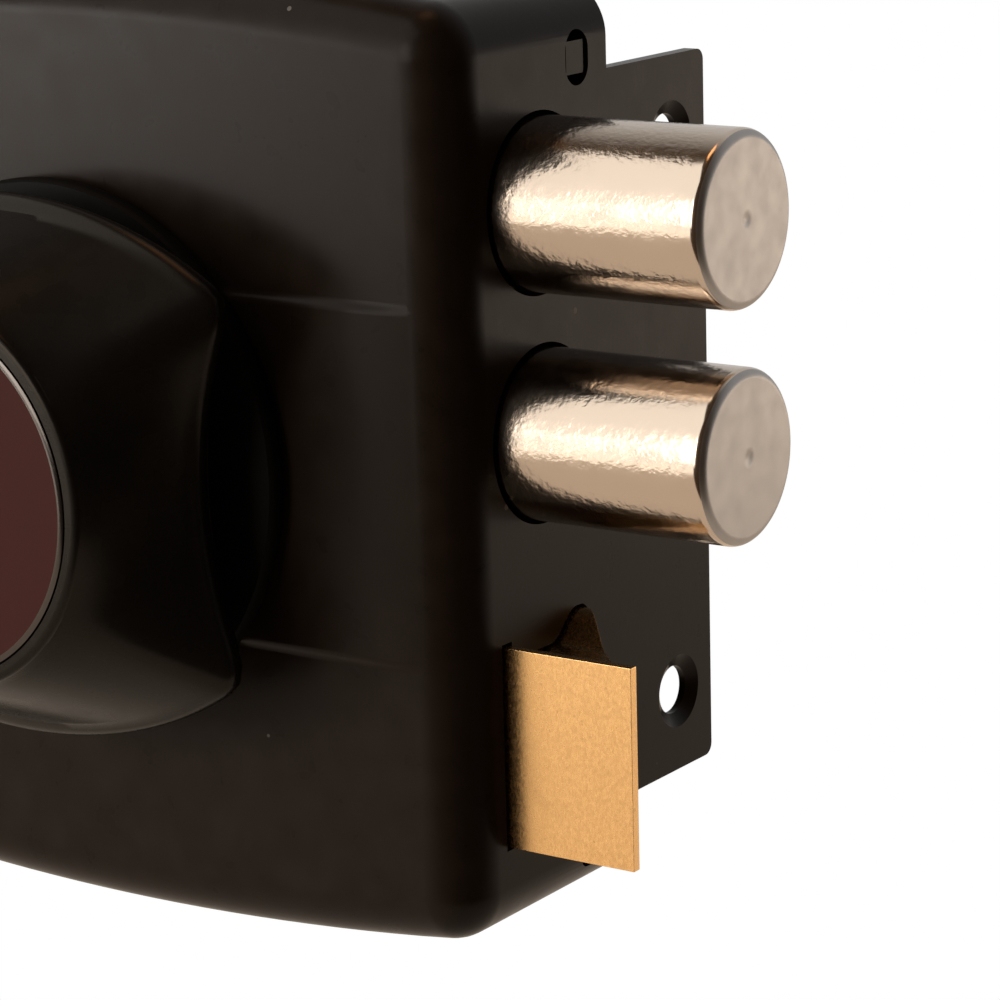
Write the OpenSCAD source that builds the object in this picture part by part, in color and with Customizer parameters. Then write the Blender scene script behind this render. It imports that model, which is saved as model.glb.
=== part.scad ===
// Rim box lock: pressed case, two round dead bolts on a rack carriage,
// a sprung bevelled latch and a thumb knob. Millimetres.
// Origin on the knob axis at the door face. +X towards the bolts, +Y into the door, +Z up.

/* [Case] */
// Distance from the knob axis to the door edge face, half the width of the case
backset = 56; // [55:0.5:60]
// Height of the case on its middle line
case_h = 115.2; // [113:0.4:124]
// Depth of the case from the door face to the raised band
case_d = 32.4; // [32:0.2:38]
// Radius of the bowed upper and lower edges
bow_r = 390; // [330:10:600]
// Rounding of the four corners seen from the front
corner_r = 6; // [5:0.5:8]
// Rounding from the front into the sides
edge_r = 4.6; // [3:0.2:4.8]
// Sheet thickness of the cover
wall = 1.8; // [1.4:0.1:2]
// Height of the raised band across the front
band_h = 41.2; // [36:0.4:50]
// Step of the raised band
band_step = 0.6; // [0.3:0.1:1]
// Thickness of the back plate
plate_t = 2; // [1.5:0.1:2.2]

/* [Flange] */
// Height of the flange that lies on the door edge
flange_h = 88.2; // [84:0.2:96]
// Reach of the flange behind the door face
flange_w = 21.4; // [20:0.2:30]
// Distance between the two flange screw holes
flange_pitch = 68.2; // [60:0.2:72]
// Flange screw holes behind the door face
flange_hole_y = 13.8; // [12:0.2:14]
// Diameter of the flange screw holes
flange_hole_d = 6; // [4.5:0.1:6.4]
// Diameter of their countersinks
flange_csk_d = 9.2; // [8:0.1:10]

/* [Bolts] */
// Diameter of the dead bolts
bolt_d = 20; // [18:0.5:21]
// Distance between the two bolt axes
bolt_pitch = 26.5; // [25:0.1:28]
// Height of the upper bolt axis above the knob axis
bolt_top = 30.5; // [29.5:0.1:31]
// Bolt axes in front of the door face
bolt_depth = 14.4; // [14:0.1:16]
// Reach of the thrown bolts beyond the door edge
bolt_out = 27; // [26:0.5:34]

/* [Latch] */
// Reach of the latch beyond the door edge
latch_out = 17; // [15:0.1:17.5]
// Height of the latch
latch_h = 23.9; // [22:0.1:24.2]
// Middle of the latch below the knob axis
latch_low = 31.15; // [31:0.05:31.6]
// Front face of the latch in front of the door face
latch_front = 23.8; // [23:0.1:25]
// Thickness of the latch behind its front face
latch_w = 17.4; // [16:0.1:17.6]
// Fall of the bevel for each millimetre of reach
latch_bevel = 1.1; // [1:0.02:1.3]

/* [Knob] */
// Diameter of the round foot of the knob
knob_d = 65.2; // [64:0.1:68]
// Thickness of the foot
foot_t = 2.4; // [2:0.1:3]
// Diameter across the two lobes of the grip
grip_d = 64.6; // [62:0.1:66]
// Width of the grip between its two scoops
knob_waist = 56.8; // [54:0.2:59]
// Distance of the widest edge of the grip in front of the foot
grip_rise = 7.2; // [6.5:0.1:8]
// Height of the knob above the case
knob_h = 26; // [24:0.5:30]
// Diameter of the front of the knob
knob_face_d = 46.6; // [46:0.2:48]
// Diameter of the cap let into the front
cap_d = 43; // [36:0.2:43.4]
// Diameter of the spindle
spindle_d = 10; // [8:0.1:10.4]

/* [Rack] */
// Teeth of the drive pinion, which turns half round for a full throw
teeth = 14; // [13:1:14]
// Module of pinion and rack
gear_m = 1.2; // [1.15:0.01:1.22]

/* [Hidden] */
$fn = 64;
press = 0.02;
run = 0.05;
gap = 0.3;
pressure = 25;
oval_wide = 1.33;
scoop_r = 45;
lobe_soft = 1.6;
rim_slope = 0.4;
neck_r = 23;
neck_t = 2.6;
edge_round = 2.2;
hw = backset;
hh = case_h / 2;
bow_z = hh - bow_r;
corner_x = hw - corner_r;
corner_z = bow_z + sqrt(pow(bow_r - corner_r, 2) - pow(corner_x, 2));
corner_a = atan2(corner_z - bow_z, corner_x);
shell_d = case_d - band_step;
front_y = -case_d;
inner_y = -(shell_d - wall);
plate_y = -plate_t;
side_x = hw - wall;
plate_gap = 0.25;
bolt_r = bolt_d / 2;
bolt_low = bolt_top - bolt_pitch;
mech_y = -bolt_depth;
bolt_tip = hw + bolt_out;
bolt_hole_r = bolt_r + 0.5;
pitch_r = teeth * gear_m / 2;
tip_r = pitch_r + gear_m;
root_r = pitch_r - 1.25 * gear_m;
tooth_p = PI * gear_m;
throw = PI * pitch_r;
gear_w = 6;
upright_t = 3.5;
upright_half = 7.5;
upright_over = 8;
upright_x = tip_r + 1 + throw;
bolt_end = upright_x + upright_t;
bar_z = pitch_r + 1.25 * gear_m;
bar_h = 6;
post_r = 3;
post_z = bar_z + bar_h + gap + post_r;
post_x = [-6, 5];
guide_t = 4;
guide_x = side_x - 8.2;
latch_z = -latch_low;
latch_top = latch_z + latch_h / 2;
latch_bot = latch_z - latch_h / 2;
latch_travel = latch_out - 0.5;
latch_inside = 15;
latch_in = hw - latch_inside;
latch_y = -latch_front;
slab_t = 1.2;
latch_back = latch_y + latch_w;
bracket_x = 13;
bracket_t = 3;
bracket_half = 7;
bracket_head = 6;
bracket_foot = 12;
bracket_foot_t = 2.5;
tail_r = 2.5;
lever_y = mech_y + 4.6;
lever_t = 2.5;
cam_r = 11;
finger_w = 4;
pivot_x = -6;
pivot_z = -cam_r - 6;
pivot_r = 2.5;
arm = pivot_z - latch_z;
pin_r = 1.5;
pin_x = pivot_x + latch_travel / 2;
arm_a = atan2(latch_travel / 2, arm);
spindle_r = spindle_d / 2;
bush_r = spindle_r + 2.5;
bush_end = -21;
knob_back = front_y - 0.6;
knob_front = front_y - knob_h;
cap_t = 1.2;
cap_play = 0.1;
screw_r = 2;
screw_head_r = 5;
screw_head_t = 3;
screw_seat = 20;
screw_in = 10;
screw_slot = 1.2;
screw_slot_t = 1.4;
spindle_seat = 16.9;
bolt_screw_r = 2.5;
bolt_screw_head_r = 5;
bolt_screw_in = 11;
cover_screw_r = 1.65;
cover_screw_head_r = 3.9;
cover_screw_l = 9;
csk_t = 1;
flange_r = 1.4;
cylinder_r = 12.5;
door_hole_r = 2.75;
door_hole_in = 16;
door_hole_down = 11.1;
door_hole_x = hw - door_hole_in;
door_hole_z = hh - door_hole_down;
hook_y = -6.15;
hook_w = 4.7;
hook_reach = 0.85;
hook_top_in = 11.6;
hook_bot_in = 10;
hook_top = hh - hook_top_in;
hook_bot = hook_bot_in - hh;
lug_y = -10;
lug_in = 27.6;
lug_z = hh - lug_in;
lug_t = 2.4;
lug_half = 6;

function arc(cx, cz, r, a0, a1, n, skip = 0) =
  [for (i = [skip : n - skip]) let (a = a0 + (a1 - a0) * i / n) [cx + r * cos(a), cz + r * sin(a)]];

// Outline of the case seen from the front, set in by d all round.
function outline(d) = concat(
  arc(corner_x, corner_z, corner_r - d, 0, corner_a, 6),
  arc(0, bow_z, bow_r - d, corner_a, 180 - corner_a, 12, 1),
  arc(-corner_x, corner_z, corner_r - d, 180 - corner_a, 180, 6),
  arc(-corner_x, -corner_z, corner_r - d, 180, 180 + corner_a, 6),
  arc(0, -bow_z, bow_r - d, 180 + corner_a, 360 - corner_a, 12, 1),
  arc(corner_x, -corner_z, corner_r - d, 360 - corner_a, 360, 6));

function at_y(ring, y) = [for (p = ring) [p[0], y, p[1]]];

// Rings from the open back to the front face, with the rounded front edge.
function case_rings(d, y0, depth, n = 7) = concat(
  [at_y(outline(d), y0)],
  [for (i = [0 : n]) at_y(
    outline(d + (edge_r - d) * (1 - cos(90 * i / n))),
    -depth + (edge_r - d) * (1 - sin(90 * i / n)))]);

module loft(rings) {
  n = len(rings[0]);
  m = len(rings);
  polyhedron(
    points = [for (r = rings) for (p = r) p],
    faces = concat(
      [[for (j = [0 : n - 1]) j]],
      [for (i = [0 : m - 2]) for (j = [0 : n - 1])
        [i * n + j, (i + 1) * n + j, (i + 1) * n + (j + 1) % n, i * n + (j + 1) % n]],
      [[for (j = [n - 1 : -1 : 0]) (m - 1) * n + j]]),
    convexity = 4);
}

// Round bar along X or along Y, from the first to the second place.
module bar_x(x0, x1, r, y, z) translate([x0, y, z]) rotate([0, 90, 0]) cylinder(r = r, h = x1 - x0);
module bar_y(y0, y1, r, x, z) translate([x, y1, z]) rotate([90, 0, 0]) cylinder(r = r, h = y1 - y0);
module cone_x(x0, x1, r0, r1, y, z)
  translate([x0, y, z]) rotate([0, 90, 0]) cylinder(r1 = r0, r2 = r1, h = x1 - x0);
module block(a, b) translate(a) cube(b - a);
module prism_x(x0, x1) translate([x0, 0, 0]) rotate([90, 0, 90]) linear_extrude(x1 - x0) children();
module prism_y(y0, y1) translate([0, y1, 0]) rotate([90, 0, 0]) linear_extrude(y1 - y0) children();

// Back edge of the latch in YZ: lower front part, S shaped rise, ridge at the back.
function latch_body(c) = concat(
  [[latch_y + slab_t - 0.1 - c, latch_bot - c], [latch_back + c, latch_bot - c]],
  [[latch_back + c, latch_top + 1 + c]],
  [for (i = [0 : 8]) [
    latch_back - 3.2 - 5.8 * i / 8 - c,
    latch_top + 1 - 3.3 * (1 - cos(180 * i / 8)) / 2 + c]],
  [[latch_y + slab_t - 0.1 - c, latch_top - 2.3 + c]]);

module latch_slab(c) {
  translate([latch_y - c, latch_bot - c])
    square([slab_t + 2 * c, latch_h + 2 * c]);
}

module hook_slot(z) {
  block([side_x - 1, hook_y - hook_w / 2, z - hook_reach], [hw + 1, hook_y + hook_w / 2, z + hook_reach]);
  for (s = [-1, 1])
    bar_x(side_x - 1, hw + 1, hook_w / 2, hook_y, z + s * hook_reach);
}

module edge_flange() color([0.16, 0.13, 0.11]) {
  r = flange_r;
  difference() {
    union() {
      block([side_x, 0, -flange_h / 2], [hw, flange_w - r, flange_h / 2]);
      block([side_x, 0, -flange_h / 2 + r], [hw, flange_w, flange_h / 2 - r]);
      for (s = [-1, 1])
        bar_x(side_x, hw, r, flange_w - r, s * (flange_h / 2 - r));
    }
    for (s = [-1, 1]) {
      bar_x(side_x - 1, hw + 1, flange_hole_d / 2, flange_hole_y, s * flange_pitch / 2);
      cone_x(hw - csk_t, hw + 0.01, flange_hole_d / 2, flange_csk_d / 2,
        flange_hole_y, s * flange_pitch / 2);
    }
  }
}

module case_cover() color([0.14, 0.12, 0.11]) {
  difference() {
    union() {
      loft(case_rings(0, 0, shell_d));
      block([-hw + edge_r + 1, front_y, -band_h / 2], [hw - edge_r - 1, -shell_d + 0.5, band_h / 2]);
    }
    loft(case_rings(wall, 1, shell_d - wall));
    for (z = [bolt_top, bolt_low])
      bar_x(side_x - 1, hw + 1, bolt_hole_r, mech_y, z);
    prism_x(side_x - 1, hw + 1) {
      polygon(latch_body(0.4));
      latch_slab(0.4);
    }
    hook_slot(hook_top);
    hook_slot(hook_bot);
    for (s = [-1, 1]) {
      bar_x(-hw - 1, -side_x + 1, cover_screw_r + 0.55, lug_y, s * lug_z);
      cone_x(-hw - 0.01, -side_x, cover_screw_head_r + 0.1, cover_screw_r + 0.55, lug_y, s * lug_z);
    }
    bar_y(front_y - 1, inner_y + 1, bush_r + press, 0, 0);
  }
}

module back_plate() color([0.45, 0.45, 0.47]) {
  lug_x = side_x - 0.6;
  difference() {
    union() {
      prism_y(plate_y, 0) polygon(outline(wall + plate_gap));
      for (z = [hook_top, hook_bot]) {
        block([lug_x - 2, hook_y - 3, z - 2], [lug_x, plate_y + 0.1, z + 2]);
        block([lug_x - 1, hook_y - 1.75, z - 1.9], [hw - 0.3, hook_y + 1.75, z + 1.9]);
      }
      for (s = [-1, 1])
        block([-lug_x, lug_y - 5, s * lug_z - lug_half],
          [-lug_x + lug_t, plate_y + 0.1, s * lug_z + lug_half]);
    }
    bar_y(plate_y - 1, 1, cylinder_r, 0, 0);
    for (x = [-1, 1], z = [-1, 1])
      bar_y(plate_y - 1, 1, door_hole_r, x * door_hole_x, z * door_hole_z);
    for (s = [-1, 1])
      bar_x(-lug_x - 1, -lug_x + lug_t + 1, cover_screw_r + press, lug_y, s * lug_z);
  }
}

module cover_screws() color([0.62, 0.61, 0.58]) {
  for (s = [-1, 1])
    difference() {
      union() {
        cone_x(-hw, -side_x, cover_screw_head_r, cover_screw_r + 0.45, lug_y, s * lug_z);
        bar_x(-side_x - 0.01, -hw + cover_screw_l, cover_screw_r, lug_y, s * lug_z);
      }
      block([-hw - 1, lug_y - 3, s * lug_z - 0.5], [-hw + wall / 2, lug_y + 3, s * lug_z + 0.5]);
    }
}

module cover_bush() color([0.72, 0.58, 0.32]) {
  difference() {
    union() {
      bar_y(front_y, bush_end, bush_r, 0, 0);
      bar_y(front_y - 1, front_y, bush_r + 3, 0, 0);
    }
    bar_y(front_y - 2, bush_end + 1, spindle_r + run, 0, 0);
    rotate([90, 0, 0]) rotate_extrude()
      translate([bush_r - 0.7, -inner_y - 1.3]) square([2, 1.3]);
  }
}

module ring_y(y0, y1, r_in, r_out) {
  difference() {
    bar_y(y0, y1, r_out, 0, 0);
    bar_y(y0 - 1, y1 + 1, r_in, 0, 0);
    block([-1.5, y0 - 1, -r_out - 1], [1.5, y1 + 1, 0]);
  }
}

module bush_clip() color([0.5, 0.5, 0.52])
  ring_y(inner_y + 0.05, inner_y + 1.25, bush_r - 0.7 + press, bush_r + 2.5);

module spindle_clip() color([0.5, 0.5, 0.52])
  ring_y(bush_end + 0.1, bush_end + 1.1, spindle_r - 0.7 + press, spindle_r + 2);

module bolt_guide() color([0.5, 0.5, 0.53]) {
  difference() {
    block([guide_x, mech_y - bolt_r - 3, bolt_low - bolt_r - 2.5],
      [guide_x + guide_t, plate_y, bolt_top + bolt_r + 2.5]);
    for (z = [bolt_top, bolt_low])
      bar_x(guide_x - 1, guide_x + guide_t + 1, bolt_r + run, mech_y, z);
  }
}

module rack_posts() color([0.6, 0.6, 0.62]) {
  back = mech_y + gear_w / 2 + gap;
  front = mech_y - gear_w / 2 - gap;
  for (x = post_x) {
    bar_y(back, plate_y, post_r + 1.5, x, post_z);
    bar_y(front, back, post_r, x, post_z);
    bar_y(front - 1.8, front, post_r + 1.5, x, post_z);
  }
}

module latch_bracket() color([0.5, 0.5, 0.53]) {
  difference() {
    union() {
      block([bracket_x, mech_y - bracket_head, latch_z - bracket_half],
        [bracket_x + bracket_t, plate_y, latch_z + bracket_half]);
      block([bracket_x, plate_y - bracket_foot_t, latch_z - bracket_half],
        [bracket_x + bracket_foot, plate_y, latch_z + bracket_half]);
    }
    bar_x(bracket_x - 1, bracket_x + bracket_t + 1, tail_r + run, mech_y, latch_z);
  }
}

module lever_post() color([0.6, 0.6, 0.62]) {
  bar_y(lever_y + lever_t + gap, plate_y, pivot_r + 1.5, pivot_x, pivot_z);
  bar_y(lever_y - gap, lever_y + lever_t + gap, pivot_r, pivot_x, pivot_z);
  bar_y(lever_y - gap - 1, lever_y - gap, pivot_r + 1, pivot_x, pivot_z);
}

// Radius of the grip's widest edge at angle a: an oval with a scoop out of each side.
function oval(a) = 1 / norm([cos(a) / (oval_wide * grip_d / 2), sin(a) / (grip_d / 2)]);
function scoop(a) = let (d = knob_waist / 2 + scoop_r, q = pow(scoop_r, 2) - pow(d * sin(a), 2))
  q <= 0 || abs(cos(a)) < 0.3 ? 1000 : d * abs(cos(a)) - sqrt(q);
function blend(a, b, k) = min(a, b) - k * ln(1 + exp(-abs(a - b) / k));
function lobe(a) = blend(oval(a), scoop(a), lobe_soft);

// One ring of the knob: a circle of radius r, turned into the lobed edge by the share s, less an inset.
function knob_ring(y, r, s, inset = 0) =
  [for (i = [0 : 71]) let (a = 5 * i, q = r + (lobe(a) - r) * s - inset) [q * cos(a), y, q * sin(a)]];

// Round foot with a sloped rim, a neck, the overhanging edge of the grip and its flanks up to the front.
module knob() color([0.06, 0.055, 0.05]) {
  r0 = knob_d / 2;
  r2 = knob_face_d / 2;
  foot = knob_back - foot_t;
  edge = foot - grip_rise;
  flank = edge - edge_round * sin(60);
  tall = flank - knob_front - 0.8;
  difference() {
    loft(concat(
      [knob_ring(knob_back, r0 - 0.5, 0), knob_ring(knob_back - 0.5, r0, 0)],
      [knob_ring(knob_back - 1, r0, 0), knob_ring(foot, r0 - rim_slope, 0)],
      [knob_ring(foot, neck_r, 0), knob_ring(foot - neck_t, neck_r, 0)],
      [for (i = [1 : 4]) knob_ring(
        foot - neck_t - (grip_rise - neck_t - edge_round) * sin(20 * i), neck_r, 1 - cos(20 * i))],
      [for (t = [60 : -30 : -60])
        knob_ring(edge + edge_round * sin(t), neck_r, 1, edge_round * (1 - cos(t)))],
      [for (i = [1 : 6]) let (share = 1 - i / 6)
        knob_ring(flank - tall * i / 6, r2, share, edge_round * (1 - cos(60)) * share)],
      [knob_ring(knob_front + 0.3, r2 - 0.3, 0), knob_ring(knob_front, r2 - 1, 0)]));
    bar_y(knob_back - 1.4, knob_back + 1, bush_r + 4, 0, 0);
    bar_y(knob_back - spindle_seat - 0.1, knob_back + 1, spindle_r + press, 0, 0);
    bar_y(knob_front - 1, knob_back - spindle_seat + 0.9, screw_r + 0.2, 0, 0);
    bar_y(knob_front - 1, knob_back - screw_seat, screw_head_r + 1, 0, 0);
    bar_y(knob_front - 1, knob_front + cap_t, cap_d / 2 + cap_play, 0, 0);
  }
}

module knob_cap() color([0.2, 0.07, 0.05]) {
  r = cap_d / 2;
  rotate([90, 0, 0]) rotate_extrude($fn = 96)
    polygon([[0, -knob_front - cap_t], [r, -knob_front - cap_t], [r, -knob_front - 0.2],
      [r - 0.5, -knob_front + 0.2], [0, -knob_front + 0.2]]);
}

module knob_screw() color([0.6, 0.6, 0.6]) {
  difference() {
    union() {
      bar_y(knob_back - screw_seat - screw_head_t, knob_back - screw_seat, screw_head_r, 0, 0);
      bar_y(knob_back - screw_seat - 0.01, knob_back - screw_in, screw_r, 0, 0);
    }
    block([-screw_head_r + 1, knob_back - screw_seat - screw_head_t - 1, -screw_slot / 2],
      [screw_head_r - 1, knob_back - screw_seat - screw_head_t + screw_slot_t, screw_slot / 2]);
  }
}

module spindle() color([0.58, 0.58, 0.6]) {
  difference() {
    bar_y(knob_back - spindle_seat, -6, spindle_r, 0, 0);
    bar_y(knob_back - spindle_seat - 1, knob_back - screw_in + 1, screw_r + press, 0, 0);
    block([-1.2, -11, -spindle_r - 1], [1.2, -5, spindle_r + 1]);
    rotate([90, 0, 0]) rotate_extrude()
      translate([spindle_r - 0.7, -bush_end - 1.2]) square([2, 1.2]);
  }
}

function inv(a) = tan(a) * 180 / PI - a;
function flank(r) = let (rb = pitch_r * cos(pressure))
  (tooth_p / 2 - 0.25) / 2 / pitch_r * 180 / PI + inv(pressure) - (r <= rb ? 0 : inv(acos(rb / r)));

module drive_pinion() color([0.62, 0.58, 0.5]) {
  base = pitch_r * cos(pressure);
  radii = concat([root_r], [for (i = [0 : 4]) base + 0.01 + (tip_r - base - 0.01) * i / 4]);
  step = 360 / teeth;
  profile = [for (k = [0 : teeth - 1]) let (mid = 90 + (k + 0.5) * step)
    each concat(
      [for (r = radii) [r * cos(mid - flank(r)), r * sin(mid - flank(r))]],
      [for (i = [len(radii) - 1 : -1 : 0]) let (r = radii[i])
        [r * cos(mid + flank(r)), r * sin(mid + flank(r))]])];
  difference() {
    prism_y(mech_y - gear_w / 2, mech_y + gear_w / 2) polygon(profile);
    bar_y(mech_y - gear_w, mech_y + gear_w, spindle_r + press, 0, 0);
  }
}

module latch_cam() color([0.55, 0.55, 0.57]) {
  difference() {
    union() {
      bar_y(lever_y, lever_y + lever_t, spindle_r + 2.2, 0, 0);
      block([-finger_w / 2, lever_y, 0], [finger_w / 2, lever_y + lever_t, cam_r]);
    }
    bar_y(lever_y - 1, lever_y + lever_t + 1, spindle_r + press, 0, 0);
  }
}

module dead_bolt(z) {
  difference() {
    translate([0, mech_y, z]) rotate([0, 90, 0]) rotate_extrude($fn = 96)
      polygon([[0, bolt_end], [bolt_r - 1, bolt_end], [bolt_r, bolt_end + 1], [bolt_r, bolt_tip - 1],
        [bolt_r - 0.3, bolt_tip - 0.3], [bolt_r - 1, bolt_tip], [0, bolt_tip]]);
    bar_x(bolt_end - 1, bolt_end + bolt_screw_in + 1, bolt_screw_r + press, mech_y, z);
    cone_x(bolt_tip - 0.7, bolt_tip + 0.01, 0.1, 0.8, mech_y, z);
  }
}

module upper_bolt() color([0.78, 0.74, 0.68]) dead_bolt(bolt_top);
module lower_bolt() color([0.78, 0.74, 0.68]) dead_bolt(bolt_low);

module bolt_carriage() color([0.5, 0.5, 0.52]) {
  half = tooth_p / 4 - 0.05;
  first = -2;
  last = floor((upright_x - 2) / tooth_p) - 1;
  difference() {
    union() {
      block([upright_x, mech_y - upright_half, bolt_low - upright_over],
        [bolt_end, mech_y + upright_half, bolt_top + upright_over]);
      block([first * tooth_p - 2, mech_y - gear_w / 2, bar_z],
        [upright_x + 0.1, mech_y + gear_w / 2, bar_z + bar_h]);
      prism_y(mech_y - gear_w / 2, mech_y + gear_w / 2)
        for (k = [first : last]) translate([k * tooth_p, 0])
          polygon([
            [-half + gear_m * tan(pressure), pitch_r - gear_m],
            [half - gear_m * tan(pressure), pitch_r - gear_m],
            [half + (bar_z - pitch_r) * tan(pressure), bar_z + 0.1],
            [-half - (bar_z - pitch_r) * tan(pressure), bar_z + 0.1]]);
    }
    for (z = [bolt_top, bolt_low]) {
      bar_x(upright_x - 1, bolt_end + 1, bolt_screw_r + 0.1, mech_y, z);
      cone_x(upright_x - 0.01, upright_x + bolt_screw_r + 0.1,
        bolt_screw_head_r + 0.2, bolt_screw_r + 0.1, mech_y, z);
    }
  }
}

module bolt_screws() color([0.6, 0.6, 0.6]) {
  for (z = [bolt_top, bolt_low])
    difference() {
      union() {
        cone_x(upright_x, upright_x + bolt_screw_r, bolt_screw_head_r, bolt_screw_r, mech_y, z);
        bar_x(upright_x + bolt_screw_r - 0.01, bolt_end + bolt_screw_in, bolt_screw_r, mech_y, z);
      }
      block([upright_x - 1, mech_y - 4, z - 0.6], [upright_x + 1.2, mech_y + 4, z + 0.6]);
    }
}

module latch_bolt() color([0.83, 0.62, 0.34]) {
  reach = (latch_w - slab_t) / latch_bevel;
  difference() {
    union() {
      prism_x(latch_in, hw + latch_out) latch_slab(0);
      difference() {
        prism_x(latch_in, hw + latch_out) polygon(latch_body(0));
        translate([0, 0, latch_bot - 1]) linear_extrude(latch_h + 4)
          polygon([[hw, latch_back], [hw + reach, latch_y + slab_t],
            [hw + latch_out + 1, latch_y + slab_t], [hw + latch_out + 1, latch_back + 1],
            [hw, latch_back + 1]]);
      }
    }
    bar_x(latch_in - 1, latch_in + 8, tail_r + press, mech_y, latch_z);
  }
}

module latch_tail() color([0.6, 0.6, 0.62]) {
  difference() {
    bar_x(pin_x - 3.2, latch_in + 7.9, tail_r, mech_y, latch_z);
    bar_y(mech_y - 5, mech_y + 5, pin_r + press, pin_x, latch_z);
    translate([bracket_x - 1.3, mech_y, latch_z]) rotate([0, 90, 0]) rotate_extrude()
      translate([tail_r - 0.6, 0]) square([2, 1.2]);
  }
}

module latch_pin() color([0.62, 0.62, 0.64])
  bar_y(mech_y - tail_r - 0.4, lever_y + lever_t + 0.6, pin_r, pin_x, latch_z);

module latch_clip() color([0.5, 0.5, 0.52]) {
  difference() {
    bar_x(bracket_x - 1.25, bracket_x - 0.1, tail_r + 1.6, mech_y, latch_z);
    bar_x(bracket_x - 2, bracket_x, tail_r - 0.6 + press, mech_y, latch_z);
    block([bracket_x - 2, mech_y - 1, latch_z - tail_r - 3], [bracket_x, mech_y + 1, latch_z]);
  }
}

// Compression spring round the tail, one unbroken tube.
module latch_spring() color([0.66, 0.66, 0.68]) {
  turns = 6;
  n = 8 * turns;
  wire = 0.6;
  coil = tail_r + 1.9;
  x0 = bracket_x + bracket_t + wire + 0.05;
  x1 = latch_in - wire - 0.05;
  pitch = (x1 - x0) / turns;
  echo(least_self_gap = pitch - 2 * wire);
  pts = [for (i = [0 : n]) let (a = 360 * turns * i / n, x = x0 + (x1 - x0) * i / n)
    for (j = [0 : 5]) let (b = 60 * j, q = coil + wire * cos(b))
      [x + wire * sin(b), mech_y + q * cos(a), latch_z + q * sin(a)]];
  polyhedron(
    points = pts,
    faces = concat(
      [[for (j = [5 : -1 : 0]) j]],
      [for (i = [0 : n - 1]) for (j = [0 : 5]) for (t = [0, 1]) t == 0 ?
        [i * 6 + j, i * 6 + (j + 1) % 6, (i + 1) * 6 + (j + 1) % 6] :
        [i * 6 + j, (i + 1) * 6 + (j + 1) % 6, (i + 1) * 6 + j]],
      [[for (j = [0 : 5]) n * 6 + j]]),
    convexity = 10);
}

module latch_lever() color([0.55, 0.55, 0.58]) {
  tip_w = 1.8;
  tip_x = finger_w / 2 + 1 + tip_w;
  elbow = [tip_x, -cam_r - 3.2];
  lift = elbow - [pivot_x, pivot_z];
  slot0 = arm - 1;
  slot1 = sqrt(arm * arm + pow(latch_travel / 2, 2)) + 1.2;
  slot_r = pin_r + 0.55;
  prism_y(lever_y, lever_y + lever_t)
    difference() {
      union() {
        translate([pivot_x, pivot_z]) circle(r = 5);
        translate([pivot_x, pivot_z]) rotate(atan2(lift[1], lift[0]))
          translate([0, -tip_w]) square([norm(lift), 2 * tip_w]);
        translate(elbow) circle(r = tip_w);
        translate([tip_x - tip_w, elbow[1]]) square([2 * tip_w, 4.7]);
        translate([tip_x, elbow[1] + 4.7]) circle(r = tip_w);
        translate([pivot_x, pivot_z]) rotate(arm_a) {
          translate([-4.5, -slot1]) square([9, slot1]);
          translate([0, -slot1]) circle(r = 4.5);
        }
      }
      translate([pivot_x, pivot_z]) {
        circle(r = pivot_r + run);
        rotate(arm_a) {
          translate([-slot_r, -slot1]) square([2 * slot_r, slot1 - slot0]);
          translate([0, -slot0]) circle(r = slot_r);
          translate([0, -slot1]) circle(r = slot_r);
        }
      }
    }
}

case_cover();
edge_flange();
back_plate();
cover_screws();
cover_bush();
bush_clip();
bolt_guide();
rack_posts();
latch_bracket();
lever_post();
knob();
knob_cap();
knob_screw();
spindle();
spindle_clip();
drive_pinion();
latch_cam();
upper_bolt();
lower_bolt();
bolt_carriage();
bolt_screws();
latch_bolt();
latch_tail();
latch_pin();
latch_clip();
latch_spring();
latch_lever();
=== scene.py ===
"""Rim box lock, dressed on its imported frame: case, bolts, latch, knob, works and stage."""

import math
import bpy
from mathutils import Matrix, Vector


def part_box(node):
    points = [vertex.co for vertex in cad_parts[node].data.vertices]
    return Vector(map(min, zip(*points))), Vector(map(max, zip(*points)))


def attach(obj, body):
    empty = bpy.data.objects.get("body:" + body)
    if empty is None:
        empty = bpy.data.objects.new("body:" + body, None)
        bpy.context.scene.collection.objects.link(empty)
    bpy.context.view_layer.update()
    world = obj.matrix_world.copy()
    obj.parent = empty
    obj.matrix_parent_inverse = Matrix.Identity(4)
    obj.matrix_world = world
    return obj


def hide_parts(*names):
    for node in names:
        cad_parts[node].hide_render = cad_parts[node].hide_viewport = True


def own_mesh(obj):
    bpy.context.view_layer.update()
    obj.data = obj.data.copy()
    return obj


bl_info = {
    "name": "Rim Box Lock",
    "version": (1, 0, 0),
    "blender": (4, 5, 0),
    "location": "View3D > Sidebar > Lock",
    "description": "Builds the visible pieces of a rim box lock over its frame",
    "category": "Object",
}

import bmesh
import bpy
from mathutils import Matrix, Vector

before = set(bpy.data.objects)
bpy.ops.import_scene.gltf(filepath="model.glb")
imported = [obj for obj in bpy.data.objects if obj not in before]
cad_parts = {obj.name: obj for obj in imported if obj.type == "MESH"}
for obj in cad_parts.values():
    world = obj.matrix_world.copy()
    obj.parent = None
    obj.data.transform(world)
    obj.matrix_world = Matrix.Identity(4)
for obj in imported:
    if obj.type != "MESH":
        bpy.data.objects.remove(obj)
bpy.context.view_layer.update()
MM = 0.001
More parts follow.
